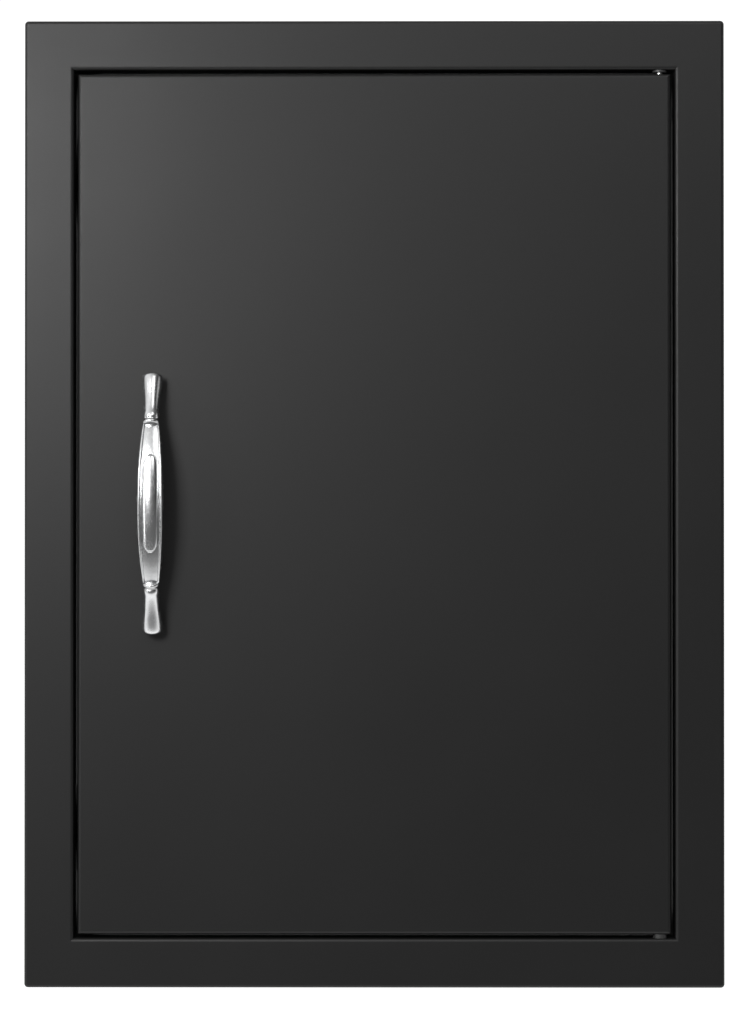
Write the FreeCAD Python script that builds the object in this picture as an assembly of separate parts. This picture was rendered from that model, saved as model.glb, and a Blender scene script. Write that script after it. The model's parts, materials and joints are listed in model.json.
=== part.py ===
import FreeCAD, Part
import math
import os

# Access door for a barbecue island: a folded sheet-metal frame that sits in a cut-out of the island's wall,
# and a double-skinned door that swings in it on two pivot pins. The upper pin is sprung and can be drawn
# down with a lever, so that the door lifts out.
# Origin: the centre of the cut-out, on the outer surface of the island's wall.
# +Y runs into the island, so the door is seen from -Y, +X is to the right and +Z is up. Millimetres.

V = FreeCAD.Vector
X_AXIS = V(1, 0, 0)
Y_AXIS = V(0, 1, 0)
Z_AXIS = V(0, 0, 1)

# How far a cutting tool runs past what it cuts
cut_margin = 1.0

# Frame
overall_width = 406.0
overall_height = 561.0
face_width = 28.6
face_stand_off = 10.0
jamb_depth = 34.0
stop_lip_width = 10.0
frame_sheet = 1.2
frame_bend_radius = 2.0
frame_corner_radius = 2.2

# Door
door_gap = 2.4
door_depth = 18.0
door_sheet = 1.0
door_bend_radius = 2.0
door_return_width = 16.0
return_corner_radius = 4.0
liner_sheet = 0.8
liner_edge_gap = 0.5
liner_field_margin = 14.0
liner_field_height = 1.0
liner_field_slope = 2.0
liner_field_radius = 12.0

# Pivots
pivot_inset = 6.0
pivot_depth = 5.0
pin_radius = 2.0
pin_running_clearance = 0.05
snug_clearance = 0.02
skin_hole_clearance = 0.3
pin_reach_past_jamb = 0.8
pin_nose_chamfer = 0.7
bush_flange_radius = 4.3
top_bush_flange_thickness = 1.2
bush_shank_radius = 3.0
bush_shank_past_sheet = 0.5
bracket_sheet = 1.5
bracket_tab_length = 10.0
bracket_front_gap = 0.1
bracket_tab_width = 10.0
bracket_web_width = 14.0
top_bracket_height = 52.0
bottom_bracket_height = 26.0
bottom_pin_head_radius = 3.4
bottom_pin_head_height = 1.6

# Plunger of the top pivot
plunger_stroke = 5.0
plunger_tail = 8.0
spring_length = 30.0
spring_wire_radius = 0.3
spring_coil_radius = 2.6
spring_turns = 6
spring_spans_per_turn = 14
spring_seat_gap = 0.05
lever_radius = 1.2
lever_reach = 5.0
lever_front_reach = 3.2
lever_slot_clearance = 0.35
knob_radius = 3.5
knob_length = 6.0
knob_edge_chamfer = 1.0

# Handle, cast, upright near the latch edge of the door
handle_inset = 44.0
handle_screw_spacing = 139.7
neck_radius = 4.3
flare_length = 22.0
flare_waist_share = 0.35
foot_radius = 5.95
foot_edge_chamfer = 0.9
foot_post_radius = 5.0
foot_post_height = 6.5
grip_half_length = 45.0
grip_stand_off = 25.5
collar_stand_off = 17.0
grip_span_count = 6
grip_half_width = 7.65
grip_end_scale = 0.66
grip_taper_power = 2.3
grip_rim_height = 2.0
grip_rim_crest_share = 0.6
grip_groove_height = 0.9
grip_rib_height = 3.4
grip_back_depth = 3.3
grip_back_half_width = 4.4
grip_side_height = -0.7
grip_rib_half_width = 3.9
cartouche_span_count = 4
cartouche_side_margin = 0.4
cartouche_crown_half_width = 1.8
cartouche_rise = 0.7
collar_ring_radius = 5.0
collar_ring_length = 2.4
collar_ring_chamfer = 0.7
collar_groove_radius = 3.9
collar_groove_length = 1.3
collar_bead_radius = 4.55
collar_bead_length = 4.9
bead_shoulder_share = 0.3
handle_screw_radius = 1.95
handle_thread_clearance = 0.05
handle_screw_depth = 5.5
tap_run_out = 0.5
handle_screw_head_radius = 4.6
handle_screw_head_height = 2.5
screw_hole_clearance = 0.25

# Stiffener behind the handle
stiffener_length = 300.0
stiffener_width = 34.0
stiffener_flange = 9.0
stiffener_sheet = 1.2

# Plugs in the liner behind the handle screws
plug_hole_radius = 7.0
plug_flange_radius = 8.6
plug_flange_thickness = 1.0
plug_shank_depth = 4.0

# Magnetic catches
catch_height = 190.0
catch_body_length = 30.0
catch_width = 14.0
catch_ear_length = 10.0
catch_ear_thickness = 3.0
catch_corner_radius = 1.5
catch_back_gap = 0.3
magnet_length = 22.0
magnet_thickness = 4.6
magnet_depth = 8.0
pole_thickness = 1.2
pole_proud = 1.0
pocket_clearance = 0.15
pole_air_gap = 0.3
strike_width = 12.0
strike_length = 46.0
strike_thickness = 1.2
strike_edge_distance = 1.0

# Screw holes that hold the frame to the island
jamb_hole_radius = 2.6
jamb_hole_depth_from_back = 9.0
jamb_hole_height = 110.0

# Places that follow from the sizes above
face_y = -face_stand_off
jamb_back_y = face_y + jamb_depth
opening_width = overall_width - 2 * face_width
opening_height = overall_height - 2 * face_width
door_width = opening_width - 2 * door_gap
door_height = opening_height - 2 * door_gap
door_back_y = face_y + door_depth
skin_inner_y = face_y + door_sheet
return_front_y = door_back_y - door_sheet
liner_front_y = return_front_y - liner_sheet
pivot_x = door_width / 2 - pivot_inset
pivot_y = face_y + pivot_depth
door_top_inner_z = door_height / 2 - door_sheet
frame_bore_radius = pin_radius + pin_running_clearance
handle_x = -door_width / 2 + handle_inset
handle_screw_z = handle_screw_spacing / 2
stiffener_back_y = skin_inner_y + stiffener_sheet
field_back_y = return_front_y + liner_field_height
opening_left_x = -opening_width / 2
strike_back_y = door_back_y + strike_thickness
catch_front_y = strike_back_y + pole_air_gap + pole_proud
catch_back_y = jamb_back_y - frame_sheet - catch_back_gap
catch_x = opening_left_x + catch_width / 2
lower_tab_top_z = door_top_inner_z - top_bracket_height + bracket_sheet
lever_z = lower_tab_top_z + spring_length + lever_radius


def block(x_low, x_high, y_low, y_high, z_low, z_high):
    """A box between two values on each axis."""
    return Part.makeBox(x_high - x_low, y_high - y_low, z_high - z_low, V(x_low, y_low, z_low))


def centred_block(width, height, y_low, y_high):
    """A box centred on the Y axis."""
    return block(-width / 2, width / 2, y_low, y_high, -height / 2, height / 2)


def rod(radius, start, end):
    """A cylinder from one point to another."""
    along = end - start
    return Part.makeCylinder(radius, along.Length, start, along)


def ring(outer_radius, inner_radius, start, end):
    """A tube from one point to another."""
    return rod(outer_radius, start, end).cut(rod(inner_radius, start, end))


def edges_at_depth(shape, y):
    """Edges that lie in the plane of one depth."""
    return [e for e in shape.Edges if all(abs(v.Y - y) < 1e-6 for v in e.Vertexes)]


def edges_along(shape, axis):
    """Straight edges that run along an axis."""
    straight = [e for e in shape.Edges if len(e.Vertexes) == 2]
    return [
        e for e in straight
        if (e.Vertexes[1].Point - e.Vertexes[0].Point).cross(axis).Length < 1e-6
    ]


def edges_near(shape, y, half_width, half_height):
    """Edges of the rectangle of one size that lies at one depth."""
    found = []
    for edge in edges_at_depth(shape, y):
        middle = edge.CenterOfMass
        on_side = abs(abs(middle.x) - half_width) < 1e-3 and abs(middle.z) < half_height
        on_end = abs(abs(middle.z) - half_height) < 1e-3 and abs(middle.x) < half_width
        if on_side or on_end:
            found.append(edge)
    return found


def rounded_rectangle(width, height, radius, y):
    """A face with round corners, across the Y axis."""
    sheet = centred_block(width, height, y, y + cut_margin)
    rounded = sheet.makeFillet(radius, edges_along(sheet, Y_AXIS))
    return [f for f in rounded.Faces if f.normalAt(0, 0).y < -0.999][0]


def export(name, shape):
    """Write one piece, or one group of like pieces, as a STEP file."""
    shape.exportStep(os.path.join("parts", name + ".step"))


# Frame


def face_pan():
    """The frame's face with its outer lip: a shallow tray that is open towards the wall."""
    outer = centred_block(overall_width, overall_height, face_y, 0.0)
    outer = outer.makeFillet(frame_corner_radius, edges_along(outer, Y_AXIS))
    outer = outer.makeFillet(frame_bend_radius, edges_at_depth(outer, face_y))
    inner_width = overall_width - 2 * frame_sheet
    inner_height = overall_height - 2 * frame_sheet
    inner = centred_block(inner_width, inner_height, face_y + frame_sheet, cut_margin)
    inner = inner.makeFillet(frame_bend_radius - frame_sheet, edges_at_depth(inner, face_y + frame_sheet))
    return outer.cut(inner)


def jamb_tube():
    """The jamb's outer form, round at the rear bend."""
    width = opening_width + 2 * frame_sheet
    height = opening_height + 2 * frame_sheet
    tube = centred_block(width, height, face_y + frame_sheet / 2, jamb_back_y)
    return tube.makeFillet(frame_bend_radius, edges_at_depth(tube, jamb_back_y))


def jamb_holes():
    """Screw holes through the jamb's side walls, and the holes of the two bushes."""
    holes = []
    hole_y = jamb_back_y - jamb_hole_depth_from_back
    side_x = opening_width / 2
    end_z = opening_height / 2
    length = frame_sheet + 2 * cut_margin
    bush_hole_radius = bush_shank_radius + snug_clearance
    for sign in (-1, 1):
        for other in (-1, 1):
            start = V(sign * (side_x - cut_margin), hole_y, other * jamb_hole_height)
            holes.append(rod(jamb_hole_radius, start, start + X_AXIS * (sign * length)))
        start = V(pivot_x, pivot_y, sign * (end_z - cut_margin))
        holes.append(rod(bush_hole_radius, start, start + Z_AXIS * (sign * length)))
    return holes


def whole_frame():
    """The frame before it is parted at its mitres."""
    frame = face_pan().fuse(jamb_tube())
    lip_front_y = jamb_back_y - frame_sheet
    frame = frame.cut(centred_block(opening_width, opening_height, face_y - cut_margin, lip_front_y))
    window_width = opening_width - 2 * stop_lip_width
    window_height = opening_height - 2 * stop_lip_width
    window = centred_block(window_width, window_height, lip_front_y - cut_margin, jamb_back_y + cut_margin)
    frame = frame.cut(window)
    frame = frame.removeSplitter()
    edge = edges_near(frame, face_y, opening_width / 2, opening_height / 2)
    frame = frame.makeFillet(frame_bend_radius, edge)
    behind_width = opening_width / 2 + frame_sheet
    behind_height = opening_height / 2 + frame_sheet
    edge = edges_near(frame, face_y + frame_sheet, behind_width, behind_height)
    frame = frame.makeFillet(frame_bend_radius - frame_sheet, edge)
    for hole in jamb_holes():
        frame = frame.cut(hole)
    return frame


def mitre_prism(end, along_is_x):
    """The space of one rail: a trapezium with mitred ends that runs through the frame's depth."""
    half_width = overall_width / 2 + cut_margin
    half_height = overall_height / 2 + cut_margin
    reach = face_width + stop_lip_width + 2 * cut_margin
    if along_is_x:
        corners = [(-half_width, half_height), (half_width, half_height)]
        corners += [(half_width - reach, half_height - reach), (reach - half_width, half_height - reach)]
        corners = [(x, end * z) for x, z in corners]
    else:
        corners = [(half_width, -half_height), (half_width, half_height)]
        corners += [(half_width - reach, half_height - reach), (half_width - reach, reach - half_height)]
        corners = [(end * x, z) for x, z in corners]
    points = [V(x, face_y - cut_margin, z) for x, z in corners]
    outline = Part.makePolygon(points + points[:1])
    return Part.Face(outline).extrude(Y_AXIS * (jamb_depth + 2 * cut_margin))


def make_frame():
    frame = whole_frame()
    export("frame_top_rail", frame.common(mitre_prism(1, True)))
    export("frame_bottom_rail", frame.common(mitre_prism(-1, True)))
    export("frame_left_stile", frame.common(mitre_prism(-1, False)))
    export("frame_right_stile", frame.common(mitre_prism(1, False)))


def frame_bush(sign, flange_thickness):
    """A flanged bush in the top or bottom rail; its flange lies in the gap round the door."""
    inner_z = sign * opening_height / 2
    flange_start = V(pivot_x, pivot_y, inner_z - sign * flange_thickness)
    seat = V(pivot_x, pivot_y, inner_z)
    tip = seat + Z_AXIS * (sign * (frame_sheet + bush_shank_past_sheet))
    bush = rod(bush_flange_radius, flange_start, seat).fuse(rod(bush_shank_radius, flange_start, tip))
    return bush.cut(rod(frame_bore_radius, flange_start, tip)).removeSplitter()


def make_frame_bushes():
    export("top_frame_bush", frame_bush(1, top_bush_flange_thickness))
    # The door's weight rests on the lower bush.
    export("bottom_frame_bush", frame_bush(-1, door_gap))


# Magnetic catches


def catch_housing(side):
    """A moulded body with two ears against the jamb and a pocket for the magnet and its poles."""
    z = side * catch_height
    half = catch_body_length / 2
    body = block(
        opening_left_x, opening_left_x + catch_width, catch_front_y, catch_back_y, z - half, z + half
    )
    far = [e for e in edges_along(body, Y_AXIS) if e.CenterOfMass.x > catch_x]
    body = body.makeFillet(catch_corner_radius, far)
    reach = half + catch_ear_length
    ear_x = opening_left_x + catch_ear_thickness
    ears = block(opening_left_x, ear_x, catch_front_y, catch_back_y, z - reach, z + reach)
    ears = ears.makeFillet(catch_corner_radius, edges_along(ears, X_AXIS))
    housing = body.fuse(ears).removeSplitter()
    pocket_half_x = magnet_thickness / 2 + pole_thickness + pocket_clearance
    pocket_half_z = magnet_length / 2 + pocket_clearance
    pocket = block(
        catch_x - pocket_half_x, catch_x + pocket_half_x,
        catch_front_y - cut_margin, catch_front_y + magnet_depth,
        z - pocket_half_z, z + pocket_half_z,
    )
    return housing.cut(pocket)


def catch_magnet(side):
    z = side * catch_height
    half = magnet_length / 2
    half_x = magnet_thickness / 2
    return block(
        catch_x - half_x, catch_x + half_x, catch_front_y, catch_front_y + magnet_depth, z - half, z + half
    )


def pole_plate(side, flank):
    """A steel plate on one flank of the magnet, proud of the housing towards the door."""
    z = side * catch_height
    half = magnet_length / 2
    near = catch_x + flank * magnet_thickness / 2
    far = near + flank * pole_thickness
    return block(
        min(near, far), max(near, far),
        catch_front_y - pole_proud, catch_front_y + magnet_depth,
        z - half, z + half,
    )


def make_catches():
    export("upper_catch_housing", catch_housing(1))
    export("lower_catch_housing", catch_housing(-1))
    export("catch_magnets", Part.makeCompound([catch_magnet(side) for side in (-1, 1)]))
    plates = [pole_plate(side, flank) for side in (-1, 1) for flank in (-1, 1)]
    export("catch_pole_plates", Part.makeCompound(plates))


# Door shell


def handle_screw_holes(y_low, y_high, radius):
    """Cylinders along the handle's two screws."""
    holes = []
    for side in (-1, 1):
        z = side * handle_screw_z
        holes.append(rod(radius, V(handle_x, y_low, z), V(handle_x, y_high, z)))
    return holes


def lever_slot():
    """The slot in the hinge-side return that the lever's rod travels in."""
    radius = lever_radius + lever_slot_clearance
    low_z = lever_z - plunger_stroke
    front_y = liner_front_y - cut_margin
    back_y = door_back_y + cut_margin
    slot = block(pivot_x - radius, pivot_x + radius, front_y, back_y, low_z, lever_z)
    for z in (low_z, lever_z):
        slot = slot.fuse(rod(radius, V(pivot_x, front_y, z), V(pivot_x, back_y, z)))
    return slot.removeSplitter()


def door_skin():
    """The folded pan: face, four sides and narrow returns at the rear."""
    outer = centred_block(door_width, door_height, face_y, door_back_y)
    outer = outer.makeFillet(door_bend_radius, edges_at_depth(outer, face_y))
    inner_width = door_width - 2 * door_sheet
    inner_height = door_height - 2 * door_sheet
    inner = centred_block(inner_width, inner_height, skin_inner_y, return_front_y)
    inner = inner.makeFillet(door_bend_radius - door_sheet, edges_at_depth(inner, skin_inner_y))
    skin = outer.cut(inner)
    window_width = door_width - 2 * door_return_width
    window_height = door_height - 2 * door_return_width
    window = centred_block(window_width, window_height, return_front_y - cut_margin, door_back_y + cut_margin)
    window = window.makeFillet(return_corner_radius, edges_along(window, Y_AXIS))
    skin = skin.cut(window)
    screw_hole = handle_screw_radius + screw_hole_clearance
    for hole in handle_screw_holes(face_y - cut_margin, skin_inner_y + cut_margin, screw_hole):
        skin = skin.cut(hole)
    pin_hole = pin_radius + skin_hole_clearance
    for sign in (-1, 1):
        start = V(pivot_x, pivot_y, sign * (door_top_inner_z - cut_margin))
        end = V(pivot_x, pivot_y, sign * (door_height / 2 + cut_margin))
        skin = skin.cut(rod(pin_hole, start, end))
    return skin.cut(lever_slot())


def liner_frustum(y_low, y_high, inset):
    """The liner's raised field, from its foot to its flat top, as a solid."""
    foot_width = door_width - 2 * (door_return_width + liner_field_margin + inset)
    foot_height = door_height - 2 * (door_return_width + liner_field_margin + inset)
    foot = rounded_rectangle(foot_width, foot_height, liner_field_radius - inset, y_low)
    slope = 2 * liner_field_slope
    top = rounded_rectangle(foot_width - slope, foot_height - slope, liner_field_radius - inset, y_high)
    return Part.makeLoft([foot.OuterWire, top.OuterWire], True, True)


def door_liner():
    """The inner panel, with a shallow raised field and holes that reach the handle's screws."""
    edge = 2 * (door_sheet + liner_edge_gap)
    plate = centred_block(door_width - edge, door_height - edge, liner_front_y, return_front_y)
    liner = plate.fuse(liner_frustum(return_front_y, field_back_y, 0.0))
    hollow = liner_frustum(liner_front_y, field_back_y - liner_sheet, liner_sheet / 2)
    liner = liner.cut(hollow)
    for hole in handle_screw_holes(liner_front_y - cut_margin, field_back_y + cut_margin, plug_hole_radius):
        liner = liner.cut(hole)
    return liner.cut(lever_slot())


def make_door_shell():
    export("door_skin", door_skin())
    export("door_liner", door_liner())


def stiffener():
    """A U-section behind the handle that spreads its pull over the skin."""
    half = stiffener_width / 2
    half_length = stiffener_length / 2
    outer = block(
        handle_x - half, handle_x + half,
        skin_inner_y, skin_inner_y + stiffener_flange,
        -half_length, half_length,
    )
    bends = [e for e in edges_along(outer, Z_AXIS) if abs(e.CenterOfMass.y - skin_inner_y) < 1e-6]
    outer = outer.makeFillet(2 * stiffener_sheet, bends)
    inner = block(
        handle_x - half + stiffener_sheet, handle_x + half - stiffener_sheet,
        stiffener_back_y, skin_inner_y + stiffener_flange + cut_margin,
        -half_length - cut_margin, half_length + cut_margin,
    )
    bends = [e for e in edges_along(inner, Z_AXIS) if abs(e.CenterOfMass.y - stiffener_back_y) < 1e-6]
    inner = inner.makeFillet(stiffener_sheet, bends)
    channel = outer.cut(inner)
    screw_hole = handle_screw_radius + screw_hole_clearance
    for hole in handle_screw_holes(face_y, stiffener_back_y + cut_margin, screw_hole):
        channel = channel.cut(hole)
    return channel


def access_plug(side):
    """A push-in plug that closes one access hole in the liner."""
    z = side * handle_screw_z
    seat = V(handle_x, field_back_y, z)
    flange_top = plug_flange_radius - plug_flange_thickness
    flange = Part.makeCone(plug_flange_radius, flange_top, plug_flange_thickness, seat, Y_AXIS)
    return flange.fuse(rod(plug_hole_radius - snug_clearance, seat - Y_AXIS * plug_shank_depth, seat))


def strike_plate(side):
    """A steel plate on the latch-side return that the catch holds."""
    half_z = strike_length / 2
    x = -door_width / 2 + strike_edge_distance
    z = side * catch_height
    return block(x, x + strike_width, door_back_y, strike_back_y, z - half_z, z + half_z)


def make_door_fittings():
    export("handle_stiffener", stiffener())
    export("access_plugs", Part.makeCompound([access_plug(side) for side in (-1, 1)]))
    export("upper_strike_plate", strike_plate(1))
    export("lower_strike_plate", strike_plate(-1))


# Handle


def bow_radius():
    """Radius of the arc that the middle of the grip follows."""
    drop = grip_stand_off - collar_stand_off
    return (grip_half_length ** 2 + drop ** 2) / (2 * drop)


def bow_end_angle():
    return math.asin(grip_half_length / bow_radius())


def bow_angles(spans):
    """Even steps along the bow's middle, from low to high, so many spans long."""
    step = 2 * bow_end_angle() / grip_span_count
    return [step * (n - spans / 2) for n in range(spans + 1)]


def grip_scale(angle):
    """The size of the grip's section against that at its middle."""
    return 1 + (grip_end_scale - 1) * (abs(angle) / bow_end_angle()) ** grip_taper_power


def handle_point(across, off_door, z):
    """A point of the handle from its place across, its distance from the door's face and its height."""
    return V(handle_x + across, face_y - off_door, z)


def arc(start, middle, end):
    return Part.Arc(start, middle, end).toShape()


def bow_point(angle, across, outward):
    """A point on the bow's middle line, moved across it and away from the door."""
    reach = bow_radius() + outward
    off_door = grip_stand_off - bow_radius() + reach * math.cos(angle)
    return handle_point(across, off_door, reach * math.sin(angle))


def section_point(angle, across, outward):
    """A point of the grip's section, which gets smaller towards the ends."""
    scale = grip_scale(angle)
    return bow_point(angle, across * scale, outward * scale)


def grip_section(angle):
    """Outline across the grip: a convex rib between two grooves, a rim on each side and a bevelled back."""
    rim_x = grip_rib_half_width + grip_rim_crest_share * (grip_half_width - grip_rib_half_width)
    left_side = section_point(angle, -grip_half_width, grip_side_height)
    right_side = section_point(angle, grip_half_width, grip_side_height)
    left_groove = section_point(angle, -grip_rib_half_width, grip_groove_height)
    right_groove = section_point(angle, grip_rib_half_width, grip_groove_height)
    return Part.Wire([
        arc(left_groove, section_point(angle, 0, grip_rib_height), right_groove),
        arc(right_groove, section_point(angle, rim_x, grip_rim_height), right_side),
        Part.makePolygon([
            right_side,
            section_point(angle, grip_back_half_width, -grip_back_depth),
            section_point(angle, -grip_back_half_width, -grip_back_depth),
            left_side,
        ]),
        arc(left_side, section_point(angle, -rim_x, grip_rim_height), left_groove),
    ])


def cartouche_section(angle):
    """Outline across the pad: a flat crown with a slope on each side down to the rib."""
    half_width = grip_rib_half_width - cartouche_side_margin
    crown_height = grip_rib_height + cartouche_rise
    side_height = grip_groove_height + cartouche_rise
    corners = [
        section_point(angle, -half_width, grip_groove_height),
        section_point(angle, -half_width, side_height),
        section_point(angle, -cartouche_crown_half_width, crown_height),
        section_point(angle, cartouche_crown_half_width, crown_height),
        section_point(angle, half_width, side_height),
        section_point(angle, half_width, grip_groove_height),
    ]
    return Part.makePolygon(corners + corners[:1])


def cartouche():
    """The raised pad on the grip's rib."""
    return Part.makeLoft([cartouche_section(angle) for angle in bow_angles(cartouche_span_count)], True, True)


def collar_line(side):
    """Where the grip ends and the way that its line runs on, towards the foot."""
    angle = bow_end_angle()
    start = bow_point(side * angle, 0, 0)
    return start, V(0, math.sin(angle), side * math.cos(angle))


def leg(side):
    """A ring, a groove, a round bead and a long flare, turned about the line that the grip ends on."""
    start, along = collar_line(side)
    groove_end = collar_ring_length + collar_groove_length
    bead_end = groove_end + collar_bead_length
    foot_end = bead_end + flare_length
    waist_radius = neck_radius + (foot_radius - neck_radius) * flare_waist_share

    def at(radius, distance):
        return start + X_AXIS * radius + along * distance

    corners = [
        at(0, 0),
        at(collar_ring_radius - collar_ring_chamfer, 0),
        at(collar_ring_radius, collar_ring_chamfer),
        at(collar_ring_radius, collar_ring_length - collar_ring_chamfer),
        at(collar_ring_radius - collar_ring_chamfer, collar_ring_length),
        at(collar_groove_radius, collar_ring_length),
        at(collar_groove_radius, groove_end),
    ]
    corners += [
        at(collar_bead_radius, groove_end + collar_bead_length * bead_shoulder_share),
        at(collar_bead_radius, bead_end - collar_bead_length * bead_shoulder_share),
        at(neck_radius, bead_end),
    ]
    corners += [
        at(waist_radius, bead_end + flare_length / 2),
        at(foot_radius, foot_end - foot_edge_chamfer),
        at(foot_radius - foot_edge_chamfer, foot_end),
        at(0, foot_end),
    ]
    outline = Part.makePolygon(corners + corners[:1])
    return Part.Face(outline).revolve(start, along, 360)


def foot_post(side):
    """The short round post between the flare's end and the door."""
    z = side * handle_screw_z
    return rod(foot_post_radius, handle_point(0, 0, z), handle_point(0, foot_post_height, z))


def handle():
    """The casting, tapped from behind for its two screws."""
    grip = Part.makeLoft([grip_section(angle) for angle in bow_angles(grip_span_count)], True, True)
    body = grip.fuse(cartouche())
    for side in (-1, 1):
        body = body.fuse([leg(side), foot_post(side)])
    door_side = block(
        handle_x - handle_inset, handle_x + handle_inset, face_y, 0.0, -handle_screw_spacing, handle_screw_spacing
    )
    body = body.cut(door_side)
    tapped = handle_screw_radius + handle_thread_clearance
    for hole in handle_screw_holes(face_y + cut_margin, face_y - handle_screw_depth - tap_run_out, tapped):
        body = body.cut(hole)
    return body.removeSplitter()


def handle_screw(side):
    """A flange-headed screw from inside the door."""
    seat = V(handle_x, stiffener_back_y, side * handle_screw_z)
    tip = V(handle_x, face_y - handle_screw_depth, side * handle_screw_z)
    head = rod(handle_screw_head_radius, seat, seat + Y_AXIS * handle_screw_head_height)
    return head.fuse(rod(handle_screw_radius, seat, tip))


def make_handle():
    export("handle", handle())
    export("handle_screws", Part.makeCompound([handle_screw(side) for side in (-1, 1)]))


# Pivots of the door


def pivot_bracket(height, sign, bore_radius):
    """A channel on the inside of the hinge-side wall, with a tab at each end that the pin runs through."""
    wall_x = door_width / 2 - door_sheet
    web_x = wall_x - bracket_sheet
    tab_front = skin_inner_y + door_bend_radius - door_sheet + bracket_front_gap
    end_z = sign * door_top_inner_z
    far_z = end_z - sign * height
    low_z = min(end_z, far_z)
    high_z = max(end_z, far_z)
    channel = block(web_x, wall_x, tab_front, tab_front + bracket_web_width, low_z, high_z)
    tab_x = web_x - bracket_tab_length
    tab_back = tab_front + bracket_tab_width
    for z in (low_z, high_z - bracket_sheet):
        channel = channel.fuse(block(tab_x, web_x, tab_front, tab_back, z, z + bracket_sheet))
    channel = channel.removeSplitter()
    corners = [e for e in edges_along(channel, Z_AXIS) if abs(e.CenterOfMass.x - tab_x) < 1e-6]
    channel = channel.makeFillet(bracket_sheet, corners)
    low = V(pivot_x, pivot_y, low_z - cut_margin)
    high = V(pivot_x, pivot_y, high_z + cut_margin)
    return channel.cut(rod(bore_radius, low, high))


def bottom_pin():
    """The fixed lower pin, with a head that rests on the bracket's upper tab."""
    tip = V(pivot_x, pivot_y, -opening_height / 2 - frame_sheet - pin_reach_past_jamb)
    seat = V(pivot_x, pivot_y, -door_top_inner_z + bottom_bracket_height)
    shank = rod(pin_radius, tip, seat)
    nose = [e for e in shank.Edges if abs(e.CenterOfMass.z - tip.z) < 1e-6]
    shank = shank.makeChamfer(pin_nose_chamfer, nose)
    return shank.fuse(rod(bottom_pin_head_radius, seat, seat + Z_AXIS * bottom_pin_head_height))


def spring_section(turns):
    """The wire's section at a place along the coil, counted in turns from its foot."""
    angle = 2 * math.pi * turns
    out = V(math.cos(angle), math.sin(angle), 0)
    pitch = (spring_length - 2 * spring_wire_radius - 2 * spring_seat_gap) / spring_turns
    foot = V(pivot_x, pivot_y, lower_tab_top_z + spring_wire_radius + spring_seat_gap)
    centre = foot + out * spring_coil_radius + Z_AXIS * (pitch * turns)
    across = out * spring_wire_radius
    rise = Z_AXIS * spring_wire_radius
    corners = [centre - across - rise, centre + across - rise, centre + across + rise, centre - across + rise]
    return Part.makePolygon(corners + corners[:1])


def plunger_spring():
    """A coil spring of square wire between the bracket's lower tab and the lever."""
    count = spring_turns * spring_spans_per_turn
    sections = [spring_section(step / spring_spans_per_turn) for step in range(count + 1)]
    return Part.makeLoft(sections, True, True)


def plunger_pin():
    """The sliding upper pin, with a cross hole for its lever."""
    nose_z = opening_height / 2 + frame_sheet + pin_reach_past_jamb
    tail_z = lower_tab_top_z - bracket_sheet - plunger_tail
    pin = rod(pin_radius, V(pivot_x, pivot_y, tail_z), V(pivot_x, pivot_y, nose_z))
    nose = [e for e in pin.Edges if e.CenterOfMass.z > nose_z - 1e-6]
    pin = pin.makeChamfer(pin_nose_chamfer, nose)
    front = V(pivot_x, pivot_y - pin_radius - cut_margin, lever_z)
    back = V(pivot_x, pivot_y + pin_radius + cut_margin, lever_z)
    return pin.cut(rod(lever_radius + snug_clearance, front, back))


def plunger_lever():
    """The rod that crosses the pin and comes out at the rear of the door."""
    start = V(pivot_x, pivot_y - lever_front_reach, lever_z)
    return rod(lever_radius, start, V(pivot_x, door_back_y + lever_reach, lever_z))


def lever_knob():
    """The moulded grip on the lever's end."""
    start = V(pivot_x, door_back_y + lever_reach - knob_length / 2, lever_z)
    end = start + Y_AXIS * knob_length
    body = rod(knob_radius, start, end)
    rim = [e for e in body.Edges if abs(e.CenterOfMass.y - end.y) < 1e-6]
    body = body.makeChamfer(knob_edge_chamfer, rim)
    return body.cut(rod(lever_radius + snug_clearance, start, start + Y_AXIS * knob_length / 2))


def make_pivots():
    export("top_pivot_bracket", pivot_bracket(top_bracket_height, 1, frame_bore_radius))
    export("bottom_pivot_bracket", pivot_bracket(bottom_bracket_height, -1, pin_radius + snug_clearance))
    export("bottom_pivot_pin", bottom_pin())
    export("plunger_spring", plunger_spring())
    export("plunger_pin", plunger_pin())
    export("plunger_lever", plunger_lever())
    export("lever_knob", lever_knob())


os.makedirs("parts", exist_ok=True)
make_frame()
make_frame_bushes()
make_catches()
make_door_shell()
make_door_fittings()
make_handle()
make_pivots()
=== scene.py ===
import bmesh
import bpy
import json
import math
from mathutils import Matrix, Vector


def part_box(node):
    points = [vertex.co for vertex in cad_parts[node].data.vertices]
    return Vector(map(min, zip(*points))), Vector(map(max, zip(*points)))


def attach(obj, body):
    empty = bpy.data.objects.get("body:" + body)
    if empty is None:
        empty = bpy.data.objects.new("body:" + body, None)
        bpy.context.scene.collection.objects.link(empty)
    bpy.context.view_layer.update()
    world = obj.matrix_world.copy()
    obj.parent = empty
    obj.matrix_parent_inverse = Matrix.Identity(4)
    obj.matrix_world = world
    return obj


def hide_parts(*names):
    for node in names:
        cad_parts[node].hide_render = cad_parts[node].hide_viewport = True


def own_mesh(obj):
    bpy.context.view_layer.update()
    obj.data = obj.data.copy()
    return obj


# Dresses the access door: powder coat, chrome handle, plated fittings, and the small parts that finish it.
# Everything is in metres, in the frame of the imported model: seen from -Y, hinges at +X, +Z up.

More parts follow.
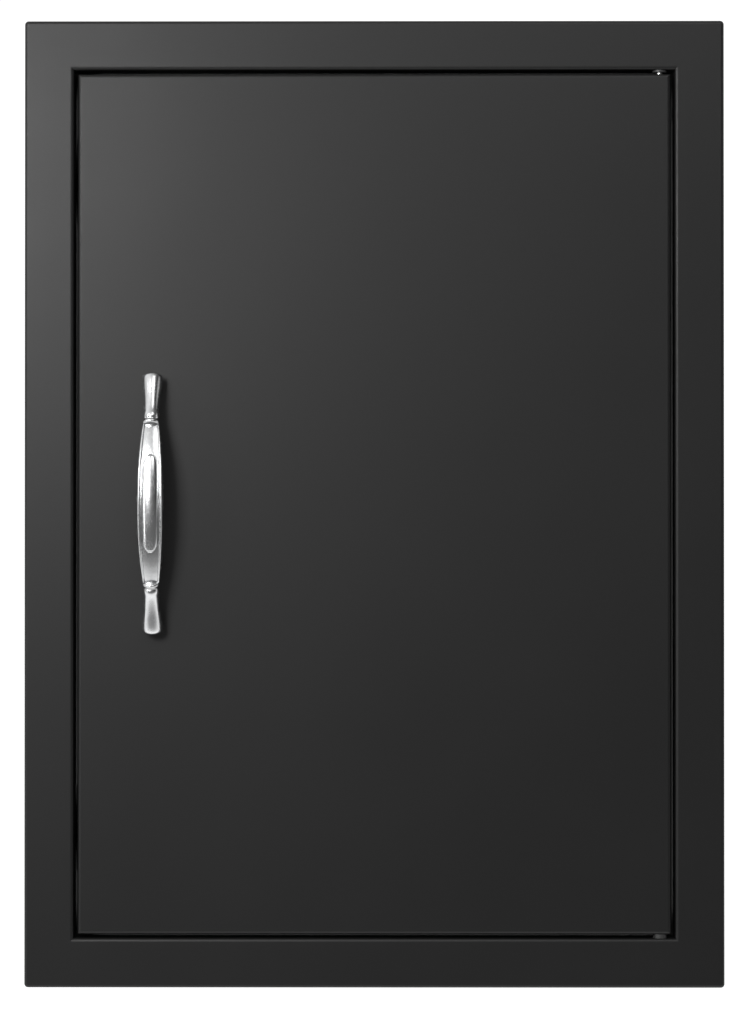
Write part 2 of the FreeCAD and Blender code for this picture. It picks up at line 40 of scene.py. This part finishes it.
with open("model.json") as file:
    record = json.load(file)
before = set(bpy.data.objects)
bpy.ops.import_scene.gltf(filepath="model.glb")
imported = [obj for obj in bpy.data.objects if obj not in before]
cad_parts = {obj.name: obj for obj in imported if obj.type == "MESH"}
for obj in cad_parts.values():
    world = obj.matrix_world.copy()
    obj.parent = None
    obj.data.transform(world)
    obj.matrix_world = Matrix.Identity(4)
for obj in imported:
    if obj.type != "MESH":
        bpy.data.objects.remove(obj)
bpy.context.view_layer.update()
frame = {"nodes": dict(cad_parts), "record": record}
nodes = frame["nodes"]

X_AXIS = Vector((1, 0, 0))
Y_AXIS = Vector((0, 1, 0))
Z_AXIS = Vector((0, 0, 1))
MM = 0.001


# Shader helpers

# A Mix node has a set of sockets for each kind of data. These are the ones that it uses for colours.
MIX_FACTOR = 0
MIX_FIRST = 6
MIX_SECOND = 7
MIX_RESULT = 2


def put(tree, kind, **settings):
    """Adds a shader node and sets its own options."""
    node = tree.nodes.new(kind)
    for name, value in settings.items():
        setattr(node, name, value)
    return node


def feed(tree, value, socket):
    """Gives an input socket another node's output, or a plain number or colour."""
    if isinstance(value, bpy.types.NodeSocket):
        tree.links.new(value, socket)
    else:
        socket.default_value = value


def feed_inputs(tree, node, **values):
    """Feeds several inputs of a node by name; an underscore stands for a space."""
    for name, value in values.items():
        feed(tree, value, node.inputs[name.replace("_", " ")])


def noise(tree, vector, scale, detail, roughness=0.5):
    """A noise texture on a vector; gives its value."""
    texture = put(tree, "ShaderNodeTexNoise")
    feed_inputs(tree, texture, Vector=vector, Scale=scale, Detail=detail, Roughness=roughness)
    return texture.outputs["Fac"]


def fitted(tree, value, given, wanted=(0.0, 1.0)):
    """Maps a value from one range to another and keeps it inside."""
    node = put(tree, "ShaderNodeMapRange")
    feed_inputs(tree, node, Value=value, From_Min=given[0], From_Max=given[1])
    feed_inputs(tree, node, To_Min=wanted[0], To_Max=wanted[1])
    return node.outputs["Result"]


def combined(tree, operation, first, second):
    """A maths node on two values."""
    node = put(tree, "ShaderNodeMath", operation=operation)
    feed(tree, first, node.inputs[0])
    feed(tree, second, node.inputs[1])
    return node.outputs[0]


def multiplied(tree, vector, by):
    """Object coordinates times a vector, for grain with a direction."""
    node = put(tree, "ShaderNodeVectorMath", operation="MULTIPLY")
    feed(tree, vector, node.inputs[0])
    feed(tree, by, node.inputs[1])
    return node.outputs["Vector"]


def blended(tree, amount, first, second):
    """A colour between two, by a mask."""
    mix = put(tree, "ShaderNodeMix", data_type="RGBA")
    feed(tree, amount, mix.inputs[MIX_FACTOR])
    feed(tree, (*first, 1), mix.inputs[MIX_FIRST])
    feed(tree, (*second, 1), mix.inputs[MIX_SECOND])
    return mix.outputs[MIX_RESULT]


def bumped(tree, height, distance, strength):
    """A normal from a height that counts for this many metres."""
    bump = put(tree, "ShaderNodeBump")
    feed_inputs(tree, bump, Height=height, Distance=distance, Strength=strength)
    return bump.outputs["Normal"]


def effect_group(name, inputs, outputs):
    """An empty shader node group with named inputs and outputs."""
    group = bpy.data.node_groups.new(name, "ShaderNodeTree")
    group.interface.new_socket(name="Vector", in_out="INPUT", socket_type="NodeSocketVector")
    for label, value in inputs.items():
        socket = group.interface.new_socket(name=label, in_out="INPUT", socket_type="NodeSocketFloat")
        socket.default_value = value
    for label in outputs:
        group.interface.new_socket(name=label, in_out="OUTPUT", socket_type="NodeSocketFloat")
    return group, put(group, "NodeGroupInput").outputs, put(group, "NodeGroupOutput").inputs


def placed(tree, group, **values):
    """A group in a material, with that material's own values."""
    node = put(tree, "ShaderNodeGroup", node_tree=group)
    feed_inputs(tree, node, **values)
    return node.outputs


def make_surface_texture():
    """Fine moulded or sprayed texture: a height, and a mask of soft patches."""
    defaults = {"Grain": 900.0, "Patch": 14.0}
    group, given, result = effect_group("surface_texture", defaults, ["Height", "Patches"])
    cells = noise(group, given["Vector"], given["Grain"], detail=3.0, roughness=0.45)
    patches = noise(group, given["Vector"], given["Patch"], detail=4.0)
    feed(group, cells, result["Height"])
    feed(group, fitted(group, patches, (0.3, 0.7)), result["Patches"])
    return group


def make_hairlines():
    """A mask of fine marks that run along Z."""
    defaults = {"Density": 1400.0, "Length": 0.03}
    group, given, result = effect_group("hairlines", defaults, ["Mask"])
    stretch = put(group, "ShaderNodeCombineXYZ")
    feed_inputs(group, stretch, X=1.0, Y=1.0, Z=given["Length"])
    along = multiplied(group, given["Vector"], stretch.outputs["Vector"])
    lines = noise(group, along, given["Density"], detail=2.0)
    feed(group, fitted(group, lines, (0.52, 0.66)), result["Mask"])
    return group


surface_texture = make_surface_texture()
hairlines = make_hairlines()


# Finishes


def start_material(name):
    """A new material with its shader and Object coordinates."""
    material = bpy.data.materials.new(name)
    material.use_nodes = True
    tree = material.node_tree
    where = put(tree, "ShaderNodeTexCoord").outputs["Object"]
    return material, tree, tree.nodes["Principled BSDF"], where


def powder_coat():
    """Satin black powder coat with a faint orange peel, paler specks and soft patches of gloss."""
    material, tree, shader, where = start_material("satin_black_powder_coat")
    texture = placed(tree, surface_texture, Vector=where, Grain=1500.0, Patch=9.0)
    specks = fitted(tree, noise(tree, where, 5200.0, detail=1.0), (0.62, 0.75))
    feed_inputs(
        tree, shader,
        Base_Color=blended(tree, specks, (0.0075, 0.0075, 0.0075), (0.015, 0.015, 0.015)),
        Roughness=fitted(tree, texture["Patches"], (0.0, 1.0), (0.42, 0.46)),
        Normal=bumped(tree, texture["Height"], 0.03 * MM, 0.35),
        Specular_IOR_Level=0.28, Coat_Weight=0.06, Coat_Roughness=0.25,
    )
    return material


def polished_chrome():
    """Chrome plate over a hand-polished casting: bright, a little wavy, with a haze and hairlines."""
    material, tree, shader, where = start_material("polished_chrome")
    marks = placed(tree, hairlines, Vector=where, Density=2400.0, Length=0.06)
    haze = fitted(tree, noise(tree, where, 130.0, detail=3.0), (0.35, 0.65), (0.20, 0.25))
    scratches = combined(tree, "MULTIPLY", marks["Mask"], 0.05)
    wave = noise(tree, where, 160.0, detail=2.0)
    feed_inputs(
        tree, shader,
        Base_Color=(0.60, 0.605, 0.61, 1), Metallic=1.0,
        Roughness=combined(tree, "ADD", haze, scratches),
        Normal=bumped(tree, wave, 0.3 * MM, 0.2),
    )
    return material


def zinc_plate():
    """Clear zinc plate: soft grey metal with cloudy patches."""
    material, tree, shader, where = start_material("zinc_plate")
    texture = placed(tree, surface_texture, Vector=where, Grain=700.0, Patch=60.0)
    feed_inputs(
        tree, shader,
        Base_Color=blended(tree, texture["Patches"], (0.50, 0.51, 0.52), (0.63, 0.62, 0.59)), Metallic=1.0,
        Roughness=fitted(tree, texture["Patches"], (0.0, 1.0), (0.30, 0.46)),
        Normal=bumped(tree, texture["Height"], 0.03 * MM, 0.4),
    )
    return material


def turned_steel():
    """Turned stainless steel with fine rings along its length."""
    material, tree, shader, where = start_material("turned_steel")
    rings = noise(tree, multiplied(tree, where, (0.05, 0.05, 1.0)), 4200.0, detail=2.0)
    feed_inputs(
        tree, shader,
        Base_Color=blended(tree, fitted(tree, rings, (0.3, 0.7)), (0.52, 0.52, 0.51), (0.66, 0.66, 0.65)),
        Metallic=1.0,
        Roughness=fitted(tree, rings, (0.3, 0.7), (0.2, 0.32)),
        Normal=bumped(tree, rings, 0.02 * MM, 0.5),
    )
    return material


def spring_wire():
    """Drawn spring wire, darker than the pins."""
    material, tree, shader, where = start_material("drawn_wire")
    texture = placed(tree, surface_texture, Vector=where, Grain=2600.0, Patch=220.0)
    feed_inputs(
        tree, shader,
        Base_Color=blended(tree, texture["Patches"], (0.30, 0.29, 0.28), (0.44, 0.43, 0.41)), Metallic=1.0,
        Roughness=fitted(tree, texture["Height"], (0.3, 0.7), (0.28, 0.42)),
    )
    return material


def black_plastic(name, colour, gloss, grain):
    """Black moulded plastic with a fine sparked texture."""
    material, tree, shader, where = start_material(name)
    texture = placed(tree, surface_texture, Vector=where, Grain=grain, Patch=40.0)
    lighter = tuple(1.5 * part for part in colour)
    feed_inputs(
        tree, shader,
        Base_Color=blended(tree, texture["Patches"], colour, lighter),
        Roughness=fitted(tree, texture["Patches"], (0.0, 1.0), gloss),
        Normal=bumped(tree, texture["Height"], 0.06 * MM, 0.6),
    )
    return material


def ferrite():
    """Pressed ferrite: dark, dull and a little pitted."""
    material, tree, shader, where = start_material("ferrite")
    texture = placed(tree, surface_texture, Vector=where, Grain=1800.0, Patch=160.0)
    feed_inputs(
        tree, shader,
        Base_Color=blended(tree, texture["Patches"], (0.035, 0.035, 0.038), (0.075, 0.074, 0.075)),
        Roughness=fitted(tree, texture["Height"], (0.3, 0.7), (0.5, 0.75)),
        Normal=bumped(tree, texture["Height"], 0.08 * MM, 0.7),
    )
    return material


finishes = {
    "frame_coat": powder_coat(),
    "polished_chrome": polished_chrome(),
    "nylon": black_plastic("black_nylon", (0.02, 0.02, 0.02), (0.42, 0.55), 900.0),
    "catch_plastic": black_plastic("catch_plastic", (0.022, 0.022, 0.023), (0.5, 0.62), 1500.0),
    "black_plastic": black_plastic("cap_plastic", (0.018, 0.018, 0.018), (0.35, 0.45), 1200.0),
    "magnet": ferrite(),
    "plated_steel": zinc_plate(),
    "pin_steel": turned_steel(),
    "spring_steel": spring_wire(),
}
finishes["door_coat"] = finishes["frame_coat"]


def finish_nodes():
    """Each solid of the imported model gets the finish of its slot."""
    for part in frame["record"]["subparts"]:
        mesh = nodes[part["node"]].data
        mesh.materials.clear()
        mesh.materials.append(finishes[part["material_slot"]])


finish_nodes()


# Shapes


def smoothstep(value):
    """A soft step from 0 to 1."""
    inside = max(0.0, min(1.0, value))
    return inside * inside * (3 - 2 * inside)


def add_object(name, bm):
    """Makes an object in the scene from a bmesh."""
    mesh = bpy.data.meshes.new(name)
    bm.to_mesh(mesh)
    bm.free()
    made = bpy.data.objects.new(name, mesh)
    bpy.context.scene.collection.objects.link(made)
    return made


def add_piece(name, bm, body, slot, sharp_angle):
    """A finished piece, smooth but for edges sharper than an angle in degrees, that rides on a body."""
    bmesh.ops.remove_doubles(bm, verts=bm.verts, dist=0.001 * MM)
    bmesh.ops.recalc_face_normals(bm, faces=bm.faces)
    piece = add_object(name, bm)
    piece.data.shade_smooth()
    piece.data.set_sharp_from_angle(angle=math.radians(sharp_angle))
    piece.data.materials.append(finishes[slot])
    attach(piece, body)
    return piece


def loft(bm, sections):
    """Draws a closed row of points on through the next rows, and closes both ends."""
    row = bmesh.ops.create_circle(bm, segments=len(sections[0]), radius=MM)["verts"]
    for vert, point in zip(row, sections[0]):
        vert.co = point
    edges = list({edge for vert in row for edge in vert.link_edges})
    ends = list(edges)
    for points in sections[1:]:
        drawn = bmesh.ops.extrude_edge_only(bm, edges=edges)["geom"]
        fresh = {item for item in drawn if isinstance(item, bmesh.types.BMVert)}
        edges = [item for item in drawn if isinstance(item, bmesh.types.BMEdge)]
        partners = [{edge.other_vert(vert) for edge in vert.link_edges} & fresh for vert in row]
        row = [partner.pop() for partner in partners]
        for vert, point in zip(row, points):
            vert.co = point
    bmesh.ops.holes_fill(bm, edges=ends + edges, sides=0)


def turned(bm, start, along, side, profile, steps):
    """Spins a profile of (distance, radius) in millimetres about a line."""
    places = [start + along * (distance * MM) + side * (radius * MM) for distance, radius in profile]
    row = [bm.verts.new(place) for place in places]
    edges = [bm.edges.new(pair) for pair in zip(row, row[1:])]
    bmesh.ops.spin(
        bm, geom=row + edges, cent=start, axis=along, dvec=(0, 0, 0), angle=2 * math.pi,
        steps=steps, use_merge=True, use_normal_flip=False, use_duplicate=False,
    )


# Handle

handle_low, handle_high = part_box("handle")
handle_x = (handle_low.x + handle_high.x) / 2
face_y = handle_high.y
screw_z = 69.85 * MM

# The bow, and the grip's section at its middle. Heights are over the bow's line.
grip_half_length = 45.0 * MM
grip_stand_off = 25.5 * MM
collar_stand_off = 17.0 * MM
grip_half_width = 7.85 * MM
grip_end_scale = 0.66
groove_share = 0.66
field_height = 0.9 * MM
field_swell = 0.6 * MM
side_height = -0.7 * MM
rim_rise = 1.25 * MM
back_depth = 3.3 * MM

# Powers: how late the grip narrows and its front falls to a side, and how full the rims and the back are.
grip_taper = 2.3
side_fall = 3
section_fullness = 0.8

# The cartouche on it.
cartouche_half_length = 28.0 * MM
cartouche_half_width = 4.8 * MM
cartouche_arch = 8.5 * MM
cartouche_ease = 1.05 * MM
cartouche_rise = 1.8 * MM
line_depth = 0.1 * MM
line_width = 0.6 * MM

# How finely they are drawn.
grip_rows = 240
front_points = 88
back_points = 32
leg_steps = 96
post_steps = 64

bow_drop = grip_stand_off - collar_stand_off
bow_radius = (grip_half_length ** 2 + bow_drop ** 2) / (2 * bow_drop)
bow_end = math.asin(grip_half_length / bow_radius)


def bow_point(angle, across, outward):
    """A point over the bow's middle line, in the handle's place on the door."""
    reach = bow_radius + outward
    off_door = grip_stand_off - bow_radius + reach * math.cos(angle)
    return Vector((handle_x + across, face_y - off_door, reach * math.sin(angle)))


def front_height(share):
    """The grip's front, a swelled field and a round rim, at a share of the way from the middle to a side."""
    share = abs(share)
    if share < groove_share:
        return field_height + field_swell * (1 - (share / groove_share) ** 2)
    way = (share - groove_share) / (1 - groove_share)
    base = field_height + (side_height - field_height) * way ** side_fall
    return base + rim_rise * math.sin(math.pi * way) ** section_fullness


def cartouche_height(angle, across):
    """The long raised pad with arched ends and a fine line round it, as a height over the field."""
    along = abs(angle) * bow_radius
    straight = cartouche_half_length - cartouche_arch
    past = max(0.0, along - straight) / cartouche_arch
    away = math.hypot(across / cartouche_half_width, past)
    line = line_depth * math.exp(-(((away - 1) * cartouche_half_width) / line_width) ** 2)
    if away > 1:
        return -line
    swell = field_swell * (1 - (across / (groove_share * grip_half_width)) ** 2)
    crown = (cartouche_rise - swell) * (1 - (across / cartouche_half_width) ** 2)
    end = smoothstep((1 - past) * cartouche_arch / cartouche_ease)
    return max(0.0, crown) * end - line


def grip_row(angle):
    """One outline across the grip, from the left side over the front and back round the rear."""
    scale = 1 + (grip_end_scale - 1) * (abs(angle) / bow_end) ** grip_taper
    points = []
    for step in range(front_points):
        share = -math.cos(math.pi * step / front_points)
        across = share * grip_half_width * scale
        height = (front_height(share) + cartouche_height(angle, share * grip_half_width)) * scale
        points.append(bow_point(angle, across, height))
    for step in range(back_points):
        turn = math.pi * step / back_points
        share = math.cos(turn)
        depth = side_height - (back_depth + side_height) * abs(math.sin(turn)) ** section_fullness
        points.append(bow_point(angle, share * grip_half_width * scale, depth * scale))
    return points


def collar_line(side):
    """Where the grip ends, and the way that its line runs on."""
    start = bow_point(side * bow_end, 0, 0)
    return start, Vector((0, math.sin(bow_end), side * math.cos(bow_end)))


# Each leg has a ring, a groove and a bead, and flares to a blunt end. A post carries it on the door.
# The profiles are distances along the line and radii, in millimetres.
leg_profile = [
    (0.0, 0.0), (0.0, 4.3), (0.15, 4.7), (0.6, 5.05), (1.2, 5.17), (1.8, 5.05), (2.25, 4.7), (2.4, 4.35),
    (2.55, 4.15), (2.95, 4.08), (3.3, 4.15), (3.6, 4.35), (4.3, 4.6), (5.4, 4.72), (6.6, 4.68), (7.6, 4.54),
    (8.6, 4.46), (10.6, 4.48), (12.6, 4.55), (14.6, 4.67), (16.6, 4.83), (18.6, 5.03), (20.6, 5.26),
    (22.6, 5.5), (24.6, 5.74), (26.6, 5.95), (28.0, 6.05), (29.0, 6.07), (29.6, 5.99), (30.1, 5.79),
    (30.45, 5.48), (30.58, 5.1), (30.6, 4.5), (30.6, 0.0),
]
post_profile = [
    (0.0, 0.0), (0.0, 5.05), (0.15, 5.2), (0.5, 5.2), (0.8, 4.95), (1.4, 4.7), (2.4, 4.6), (6.4, 4.6),
    (6.4, 0.0),
]


def make_handle():
    """The casting: grip with its rims and cartouche, turned legs, and the posts under them."""
    bm = bmesh.new()
    loft(bm, [grip_row(bow_end * (2 * n / grip_rows - 1)) for n in range(grip_rows + 1)])
    for side in (-1, 1):
        start, along = collar_line(side)
        turned(bm, start, along, X_AXIS, leg_profile, leg_steps)
        turned(bm, Vector((handle_x, face_y, side * screw_z)), -Y_AXIS, X_AXIS, post_profile, post_steps)
    piece = add_piece("cast_handle", bm, "door", "polished_chrome", 50.0)
    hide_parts("handle")


make_handle()


# Screws, plugs and knob


def ring_row(seat, out, side, rise, radius_at, count=64):
    """A closed row of points about a line, at one height along it, in millimetres."""
    other = out.cross(side)
    row = []
    for step in range(count):
        turn = 2 * math.pi * step / count
        radius = radius_at(turn) * MM
        row.append(seat + out * (rise * MM) + (side * math.cos(turn) + other * math.sin(turn)) * radius)
    return row


def cross_edge(turn, reach, half_width):
    """Distance from the middle of a cross recess to its edge in one direction."""
    lean = abs((turn + math.pi / 4) % (math.pi / 2) - math.pi / 4)
    if math.tan(lean) < half_width / reach:
        return reach / math.cos(lean)
    return half_width / math.sin(lean)


def pan_head(bm, seat, out, side, radius, height):
    """The head of a pan screw with a cross recess, on the surface that it holds, in millimetres."""
    recess_reach = 0.5 * radius
    recess_half_width = 0.15 * radius
    dome = [(-0.1, 1.0), (0.35, 1.0), (0.62, 0.95), (0.84, 0.82), (0.96, 0.66), (1.0, 0.56)]
    recess = [(1.0, 1.0), (0.35, 0.8), (0.3, 0.2)]
    rows = [ring_row(seat, out, side, rise * height, lambda turn, k=part: k * radius) for rise, part in dome]
    for rise, part in recess:
        rows.append(ring_row(
            seat, out, side, rise * height,
            lambda turn, k=part: k * cross_edge(turn, recess_reach, recess_half_width),
        ))
    loft(bm, rows)


def screw_heights(low, high, spacing):
    """The heights of two screws on the upper of two fittings, and of two on the lower one."""
    centre_z = (low.z + high.z) / 2
    return [side * centre_z + end * spacing / 2 for side in (-1, 1) for end in (-1, 1)]


def make_catch_screws():
    """Four pan heads that hold the catches to the jamb by their ears."""
    bm = bmesh.new()
    low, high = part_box("upper_catch_housing")
    ear_thickness = 3.0 * MM
    for z in screw_heights(low, high, spacing=40.0 * MM):
        seat = Vector((low.x + ear_thickness, (low.y + high.y) / 2, z))
        pan_head(bm, seat, X_AXIS, Y_AXIS, radius=2.7, height=1.5)
    add_piece("catch_screws", bm, "frame", "plated_steel", 40.0)


def make_strike_screws():
    """Four low pan heads that hold the strike plates to the door."""
    bm = bmesh.new()
    low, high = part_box("upper_strike_plate")
    for z in screw_heights(low, high, spacing=38.0 * MM):
        seat = Vector(((low.x + high.x) / 2, high.y, z))
        pan_head(bm, seat, Y_AXIS, X_AXIS, radius=2.5, height=0.9)
    add_piece("strike_screws", bm, "door", "plated_steel", 40.0)


def make_plugs():
    """The two push-in plugs: a low domed flange with a dished middle, and a ribbed shank."""
    bm = bmesh.new()
    low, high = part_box("access_plugs")
    flange = 1.0 * MM
    profile = [
        (-4.0, 0.0), (-4.0, 6.2), (-3.6, 6.7), (-2.6, 6.95), (-2.2, 6.7), (-1.4, 6.7), (-1.0, 6.95),
        (0.0, 6.95), (0.0, 8.55), (0.25, 8.6), (0.6, 8.35), (0.85, 7.8), (1.0, 7.0), (1.0, 6.4),
        (0.85, 6.0), (0.55, 5.6), (0.45, 5.0), (0.45, 1.2), (0.6, 0.9), (0.65, 0.0),
    ]
    for side in (-1, 1):
        turned(bm, Vector((handle_x, high.y - flange, side * screw_z)), Y_AXIS, X_AXIS, profile, steps=72)
    piece = add_piece("dished_plugs", bm, "door", "black_plastic", 40.0)
    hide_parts("access_plugs")


def make_knob():
    """The lever's moulded knob: ten flutes, a round nose and a bore for the lever, in millimetres."""
    bm = bmesh.new()
    low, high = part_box("lever_knob")
    seat = Vector(((low.x + high.x) / 2, low.y, (low.z + high.z) / 2))
    flutes = 10
    bore_radius = 1.22
    bore_depth = 3.0
    count = 120
    levels = [
        (bore_depth, bore_radius, 0.0), (0.0, bore_radius, 0.0),
        (0.0, 3.1, 0.2), (0.3, 3.4, 0.3), (0.7, 3.5, 0.36), (4.2, 3.5, 0.36),
        (4.9, 3.3, 0.3), (5.5, 2.8, 0.15), (5.9, 2.0, 0.0), (6.0, 1.0, 0.0),
    ]

    def fluted(radius, depth):
        return lambda turn: radius - depth * (0.5 + 0.5 * math.cos(flutes * turn)) ** 2

    rows = []
    for rise, radius, depth in levels:
        rows.append(ring_row(seat, Y_AXIS, X_AXIS, rise, fluted(radius, depth), count))
    loft(bm, rows)
    piece = add_piece("fluted_knob", bm, "plunger", "black_plastic", 50.0)
    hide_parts("lever_knob")


def make_spring():
    """The plunger's return spring: round wire with a close turn at each end, as long as the part that it
    replaces.
    """
    bm = bmesh.new()
    low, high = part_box("plunger_spring")
    wire_radius = 0.3 * MM
    open_turns = 4
    close_pitch = 0.7 * MM
    open_pitch = (high.z - low.z - 2 * wire_radius - 2 * close_pitch) / open_turns
    steps = 32
    foot = Vector(((low.x + high.x) / 2, (low.y + high.y) / 2, low.z + wire_radius))
    wire_end = foot + X_AXIS * ((high.x - low.x) / 2 - wire_radius)
    upright = Matrix.Translation(wire_end) @ Matrix.Rotation(math.radians(90), 4, "X")
    row = bmesh.ops.create_circle(bm, segments=12, radius=wire_radius, matrix=upright)["verts"]
    drawn = row + list({edge for vert in row for edge in vert.link_edges})
    for turns, pitch in ((1, close_pitch), (open_turns, open_pitch), (1, close_pitch)):
        drawn = bmesh.ops.spin(
            bm, geom=drawn, cent=foot, axis=Z_AXIS, dvec=(0, 0, pitch / steps), angle=2 * math.pi * turns,
            steps=steps * turns, use_merge=False, use_normal_flip=False, use_duplicate=False,
        )["geom_last"]
    bmesh.ops.holes_fill(bm, edges=[edge for edge in bm.edges if edge.is_boundary], sides=0)
    piece = add_piece("wound_spring", bm, "door", "spring_steel", 60.0)
    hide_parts("plunger_spring")
    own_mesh(piece)


make_catch_screws()
make_strike_screws()
make_plugs()
make_knob()
make_spring()


# Eased edges

catch_ease = 0.35 * MM
strike_ease = 0.25 * MM
pole_ease = 0.2 * MM


def eased_copy(name, node, body, slot, width):
    """A solid again with its sharp edges slightly rounded, as it leaves the press or the mould."""
    bm = bmesh.new()
    bm.from_mesh(nodes[node].data)
    bmesh.ops.remove_doubles(bm, verts=bm.verts, dist=0.002 * MM)
    bmesh.ops.dissolve_limit(bm, angle_limit=math.radians(1), verts=bm.verts, edges=bm.edges)
    sharp = [edge for edge in bm.edges if edge.calc_face_angle(0) > math.radians(40)]
    bmesh.ops.bevel(
        bm, geom=sharp, offset=width, offset_type="OFFSET", segments=3, profile=0.5,
        affect="EDGES", material=-1, clamp_overlap=True,
    )
    piece = add_piece(name, bm, body, slot, 30.0)
    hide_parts(node)


eased_copy("moulded_upper_catch", "upper_catch_housing", "frame", "catch_plastic", catch_ease)
eased_copy("moulded_lower_catch", "lower_catch_housing", "frame", "catch_plastic", catch_ease)
eased_copy("pressed_upper_strike", "upper_strike_plate", "door", "plated_steel", strike_ease)
eased_copy("pressed_lower_strike", "lower_strike_plate", "door", "plated_steel", strike_ease)
eased_copy("eased_poles", "catch_pole_plates", "frame", "plated_steel", pole_ease)


# Studio

white = (1, 1, 1, 1)
floor_drop = 0.75
floor_half_size = 14.0
# The floor glows less where the lamps light it. The world's white is a little over plain white, so that no
# border of a picture shows a tint.
lit_floor_white = 0.8
dim_floor_white = 0.95
world_white = 1.1

# Name, place, width, height and watts. All face the origin. The small key lamp stands in front of the large
# one, because two lamps in one plane draw a straight line in the coat's gloss.
lamps = [
    ("key", (-0.571, -1.275, 0.408), 1.2, 0.9, 1.4),
    ("key_middle", (-0.56, -1.25, 0.40), 0.42, 0.42, 11.6),
    ("high_fill", (0.3, -1.1, 0.8), 0.5, 0.5, 2.6),
    ("left_strip", (-1.3, -0.9, 0.1), 0.15, 1.2, 3.5),
]

camera_aim = Vector((-0.0007, -0.010, -0.0048))
camera_distance = 1.65
camera_turn = math.radians(0.26)
camera_tilt = math.radians(0.40)
lens_length = 100.05


def split_vector(tree, vector):
    """The X, Y and Z of a vector."""
    apart = put(tree, "ShaderNodeSeparateXYZ")
    feed(tree, vector, apart.inputs[0])
    return apart.outputs


def seen_rays(tree):
    """A mask of the rays that see a backdrop directly, and one of those that see it mirrored."""
    path = put(tree, "ShaderNodeLightPath").outputs
    direct = combined(tree, "MAXIMUM", path["Is Camera Ray"], path["Is Transmission Ray"])
    return direct, path["Is Glossy Ray"]


def make_floor():
    """A pale floor well below the door, darker in front, so that little light comes back from there."""
    bm = bmesh.new()
    bmesh.ops.create_grid(bm, x_segments=1, y_segments=1, size=floor_half_size)
    bmesh.ops.translate(bm, verts=bm.verts, vec=(0, 0, -floor_drop))
    floor = add_object("floor", bm)
    material, tree, shader, where = start_material("floor_paint")
    below = fitted(tree, split_vector(tree, where)["Y"], (-1.05, -0.6))
    seen, mirrored = seen_rays(tree)
    glow = fitted(tree, below, (0.0, 1.0), (dim_floor_white, lit_floor_white))
    shown = combined(tree, "MULTIPLY", seen, glow)
    feed_inputs(
        tree, shader,
        Base_Color=blended(tree, below, (0.2, 0.2, 0.2), (0.4, 0.4, 0.4)), Roughness=0.9,
        Emission_Color=white,
        Emission_Strength=combined(tree, "MAXIMUM", shown, combined(tree, "MULTIPLY", below, mirrored)),
    )
    floor.data.materials.append(material)


def make_world():
    """White behind the door and in direct view, and a soft room in front, bright left, above and far right."""
    world = bpy.data.worlds.new("studio")
    bpy.context.scene.world = world
    world.use_nodes = True
    tree = world.node_tree
    toward = split_vector(tree, put(tree, "ShaderNodeTexCoord").outputs["Generated"])
    sideways = fitted(tree, toward["X"], (-0.9, 0.8), (0.5, 0.02))
    above = fitted(tree, toward["Z"], (0.02, 0.6), (1.0, 2.6))
    far_right = fitted(tree, toward["X"], (0.86, 0.97), (0.0, 0.9))
    behind = fitted(tree, toward["Y"], (-0.1, 0.3))
    seen, mirrored = seen_rays(tree)
    parts = [
        combined(tree, "MULTIPLY", sideways, above),
        far_right,
        combined(tree, "MULTIPLY", behind, 0.7),
        combined(tree, "MULTIPLY", behind, mirrored),
        combined(tree, "MULTIPLY", seen, world_white),
    ]
    strength = parts[0]
    for part in parts[1:]:
        strength = combined(tree, "MAXIMUM", strength, part)
    feed_inputs(tree, tree.nodes["Background"], Color=white, Strength=strength)


def look_along(thing, place, way):
    """Puts a lamp or a camera at a place, facing along a line."""
    thing.location = place
    thing.rotation_euler = way.to_track_quat("-Z", "Y").to_euler()
    bpy.context.scene.collection.objects.link(thing)


def area_light(name, place, width, height, power):
    """A soft box that faces the origin."""
    lamp = bpy.data.lights.new(name, "AREA")
    lamp.shape = "RECTANGLE"
    lamp.size = width
    lamp.size_y = height
    lamp.energy = power
    look_along(bpy.data.objects.new(name, lamp), Vector(place), -Vector(place))


def make_camera():
    """The photograph's camera: far off, nearly square to the door."""
    lens = bpy.data.cameras.new("camera")
    lens.sensor_width = 36.0
    lens.lens = lens_length
    lens.clip_end = 60.0
    camera = bpy.data.objects.new("camera", lens)
    turn = Matrix.Rotation(camera_turn, 3, "Z") @ Matrix.Rotation(camera_tilt, 3, "X")
    away = turn @ (-Y_AXIS * camera_distance)
    look_along(camera, camera_aim + away, -away)
    bpy.context.scene.camera = camera


make_floor()
make_world()
for lamp_values in lamps:
    area_light(*lamp_values)
make_camera()

view = bpy.context.scene.view_settings
view.view_transform = "Standard"
